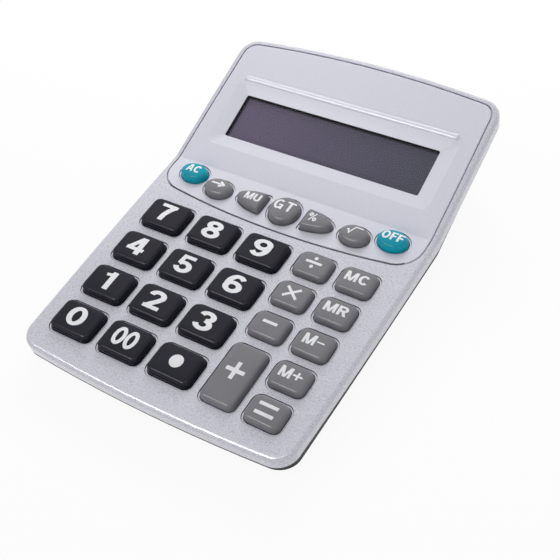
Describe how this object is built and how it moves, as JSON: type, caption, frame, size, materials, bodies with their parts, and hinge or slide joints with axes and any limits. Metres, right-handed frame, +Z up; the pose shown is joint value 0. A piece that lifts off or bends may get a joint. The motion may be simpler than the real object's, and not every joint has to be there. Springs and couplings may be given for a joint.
{
  "type": "desktop calculator",
  "caption": "Desktop calculator with a sloping liquid crystal display, sprung number and function keys and a battery bay with a sliding cover underneath.",
  "frame": {"origin": "middle of the footprint, on the surface that the calculator stands on", "axes": "+X to the user's right, +Y away from the user towards the display, +Z up"},
  "size_m": [0.1386, 0.1938, 0.0427],
  "materials": {
    "silver_case": "metallic silver paint with a fine sparkle, satin",
    "silver_panel": "smooth metallic silver paint, satin",
    "black_case": "fine moulded texture",
    "black_key": "satin gloss",
    "grey_key": "satin",
    "teal_key": "gloss",
    "display_lens": "clear, lightly smoked",
    "lcd_glass": "polariser film, satin",
    "inner_plastic": "natural",
    "ribbon": "film",
    "mat_rubber": "silicone",
    "board": "solder mask",
    "chip": "epoxy",
    "can": "bright",
    "steel": "zinc plated",
    "foot_rubber": "matt",
    "cell_jacket": "printed jacket, plain",
    "contact_metal": "nickel plated",
    "lead_black": "gloss",
    "lead_red": "gloss",
    "legend_ink": "printed white"
  },
  "bodies": {
    "housing": {"top_case": "silver_case", "bottom_case": "black_case", "display_panel": "silver_panel", "display_lens": "display_lens", "lcd_glass": "lcd_glass", "lcd_frame": "inner_plastic", "lcd_ribbon": "ribbon", "dome_mat": "mat_rubber", "main_board": "board", "chip_cover": "chip", "capacitor": "can", "board_screws": "steel", "case_screws": "steel", "rubber_feet": "foot_rubber", "battery_cell": "cell_jacket", "battery_spring_contact": "contact_metal", "battery_plate_contact": "contact_metal", "battery_lead_left": "lead_black", "battery_lead_right": "lead_red"},
    "key_7": {"key_7": "black_key"},
    "key_8": {"key_8": "black_key"},
    "key_9": {"key_9": "black_key"},
    "key_4": {"key_4": "black_key"},
    "key_5": {"key_5": "black_key"},
    "key_6": {"key_6": "black_key"},
    "key_1": {"key_1": "black_key"},
    "key_2": {"key_2": "black_key"},
    "key_3": {"key_3": "black_key"},
    "key_0": {"key_0": "black_key"},
    "key_double_zero": {"key_double_zero": "black_key"},
    "key_point": {"key_point": "black_key"},
    "key_divide": {"key_divide": "grey_key"},
    "key_multiply": {"key_multiply": "grey_key"},
    "key_minus": {"key_minus": "grey_key"},
    "key_plus": {"key_plus": "grey_key"},
    "key_mc": {"key_mc": "grey_key"},
    "key_mr": {"key_mr": "grey_key"},
    "key_m_minus": {"key_m_minus": "grey_key"},
    "key_m_plus": {"key_m_plus": "grey_key"},
    "key_equals": {"key_equals": "grey_key"},
    "key_backspace": {"key_backspace": "grey_key"},
    "key_root": {"key_root": "grey_key"},
    "key_mu": {"key_mu": "grey_key"},
    "key_percent": {"key_percent": "grey_key"},
    "key_gt": {"key_gt": "grey_key"},
    "key_ac": {"key_ac": "teal_key"},
    "key_off": {"key_off": "teal_key"},
    "battery_cover": {"battery_cover": "black_case"}
  },
  "joints": [
    {"name": "key_7_press", "type": "slide", "parent": "housing", "child": "key_7", "axis": [0, 0.0523, -0.9986], "range_m": [0, 0.0013], "stiffness_N_per_m": 400, "springref_m": -0.001},
    {"name": "key_8_press", "type": "slide", "parent": "housing", "child": "key_8", "axis": [0, 0.0523, -0.9986], "range_m": [0, 0.0013], "stiffness_N_per_m": 400, "springref_m": -0.001},
    {"name": "key_9_press", "type": "slide", "parent": "housing", "child": "key_9", "axis": [0, 0.0523, -0.9986], "range_m": [0, 0.0013], "stiffness_N_per_m": 400, "springref_m": -0.001},
    {"name": "key_4_press", "type": "slide", "parent": "housing", "child": "key_4", "axis": [0, 0.0523, -0.9986], "range_m": [0, 0.0013], "stiffness_N_per_m": 400, "springref_m": -0.001},
    {"name": "key_5_press", "type": "slide", "parent": "housing", "child": "key_5", "axis": [0, 0.0523, -0.9986], "range_m": [0, 0.0013], "stiffness_N_per_m": 400, "springref_m": -0.001},
    {"name": "key_6_press", "type": "slide", "parent": "housing", "child": "key_6", "axis": [0, 0.0523, -0.9986], "range_m": [0, 0.0013], "stiffness_N_per_m": 400, "springref_m": -0.001},
    {"name": "key_1_press", "type": "slide", "parent": "housing", "child": "key_1", "axis": [0, 0.0523, -0.9986], "range_m": [0, 0.0013], "stiffness_N_per_m": 400, "springref_m": -0.001},
    {"name": "key_2_press", "type": "slide", "parent": "housing", "child": "key_2", "axis": [0, 0.0523, -0.9986], "range_m": [0, 0.0013], "stiffness_N_per_m": 400, "springref_m": -0.001},
    {"name": "key_3_press", "type": "slide", "parent": "housing", "child": "key_3", "axis": [0, 0.0523, -0.9986], "range_m": [0, 0.0013], "stiffness_N_per_m": 400, "springref_m": -0.001},
    {"name": "key_0_press", "type": "slide", "parent": "housing", "child": "key_0", "axis": [0, 0.0523, -0.9986], "range_m": [0, 0.0013], "stiffness_N_per_m": 400, "springref_m": -0.001},
    {"name": "key_double_zero_press", "type": "slide", "parent": "housing", "child": "key_double_zero", "axis": [0, 0.0523, -0.9986], "range_m": [0, 0.0013], "stiffness_N_per_m": 400, "springref_m": -0.001},
    {"name": "key_point_press", "type": "slide", "parent": "housing", "child": "key_point", "axis": [0, 0.0523, -0.9986], "range_m": [0, 0.0013], "stiffness_N_per_m": 400, "springref_m": -0.001},
    {"name": "key_divide_press", "type": "slide", "parent": "housing", "child": "key_divide", "axis": [0, 0.0523, -0.9986], "range_m": [0, 0.0013], "stiffness_N_per_m": 400, "springref_m": -0.001},
    {"name": "key_multiply_press", "type": "slide", "parent": "housing", "child": "key_multiply", "axis": [0, 0.0523, -0.9986], "range_m": [0, 0.0013], "stiffness_N_per_m": 400, "springref_m": -0.001},
    {"name": "key_minus_press", "type": "slide", "parent": "housing", "child": "key_minus", "axis": [0, 0.0523, -0.9986], "range_m": [0, 0.0013], "stiffness_N_per_m": 400, "springref_m": -0.001},
    {"name": "key_plus_press", "type": "slide", "parent": "housing", "child": "key_plus", "axis": [0, 0.0523, -0.9986], "range_m": [0, 0.0013], "stiffness_N_per_m": 400, "springref_m": -0.001},
    {"name": "key_mc_press", "type": "slide", "parent": "housing", "child": "key_mc", "axis": [0, 0.0523, -0.9986], "range_m": [0, 0.0013], "stiffness_N_per_m": 400, "springref_m": -0.001},
    {"name": "key_mr_press", "type": "slide", "parent": "housing", "child": "key_mr", "axis": [0, 0.0523, -0.9986], "range_m": [0, 0.0013], "stiffness_N_per_m": 400, "springref_m": -0.001},
    {"name": "key_m_minus_press", "type": "slide", "parent": "housing", "child": "key_m_minus", "axis": [0, 0.0523, -0.9986], "range_m": [0, 0.0013], "stiffness_N_per_m": 400, "springref_m": -0.001},
    {"name": "key_m_plus_press", "type": "slide", "parent": "housing", "child": "key_m_plus", "axis": [0, 0.0523, -0.9986], "range_m": [0, 0.0013], "stiffness_N_per_m": 400, "springref_m": -0.001},
    {"name": "key_equals_press", "type": "slide", "parent": "housing", "child": "key_equals", "axis": [0, 0.0523, -0.9986], "range_m": [0, 0.0013], "stiffness_N_per_m": 400, "springref_m": -0.001},
    {"name": "key_backspace_press", "type": "slide", "parent": "housing", "child": "key_backspace", "axis": [0, 0.0523, -0.9986], "range_m": [0, 0.0013], "stiffness_N_per_m": 400, "springref_m": -0.001},
    {"name": "key_root_press", "type": "slide", "parent": "housing", "child": "key_root", "axis": [0, 0.0523, -0.9986], "range_m": [0, 0.0013], "stiffness_N_per_m": 400, "springref_m": -0.001},
    {"name": "key_mu_press", "type": "slide", "parent": "housing", "child": "key_mu", "axis": [0, 0.0523, -0.9986], "range_m": [0, 0.0013], "stiffness_N_per_m": 400, "springref_m": -0.001},
    {"name": "key_percent_press", "type": "slide", "parent": "housing", "child": "key_percent", "axis": [0, 0.0523, -0.9986], "range_m": [0, 0.0013], "stiffness_N_per_m": 400, "springref_m": -0.001},
    {"name": "key_gt_press", "type": "slide", "parent": "housing", "child": "key_gt", "axis": [0, 0.0523, -0.9986], "range_m": [0, 0.0013], "stiffness_N_per_m": 400, "springref_m": -0.001},
    {"name": "key_ac_press", "type": "slide", "parent": "housing", "child": "key_ac", "axis": [0, 0.0523, -0.9986], "range_m": [0, 0.0013], "stiffness_N_per_m": 400, "springref_m": -0.001},
    {"name": "key_off_press", "type": "slide", "parent": "housing", "child": "key_off", "axis": [0, 0.0523, -0.9986], "range_m": [0, 0.0013], "stiffness_N_per_m": 400, "springref_m": -0.001},
    {"name": "battery_cover_slide", "type": "slide", "parent": "housing", "child": "battery_cover", "axis": [0, 1, 0], "range_m": [0, 0.012]}
  ]
}
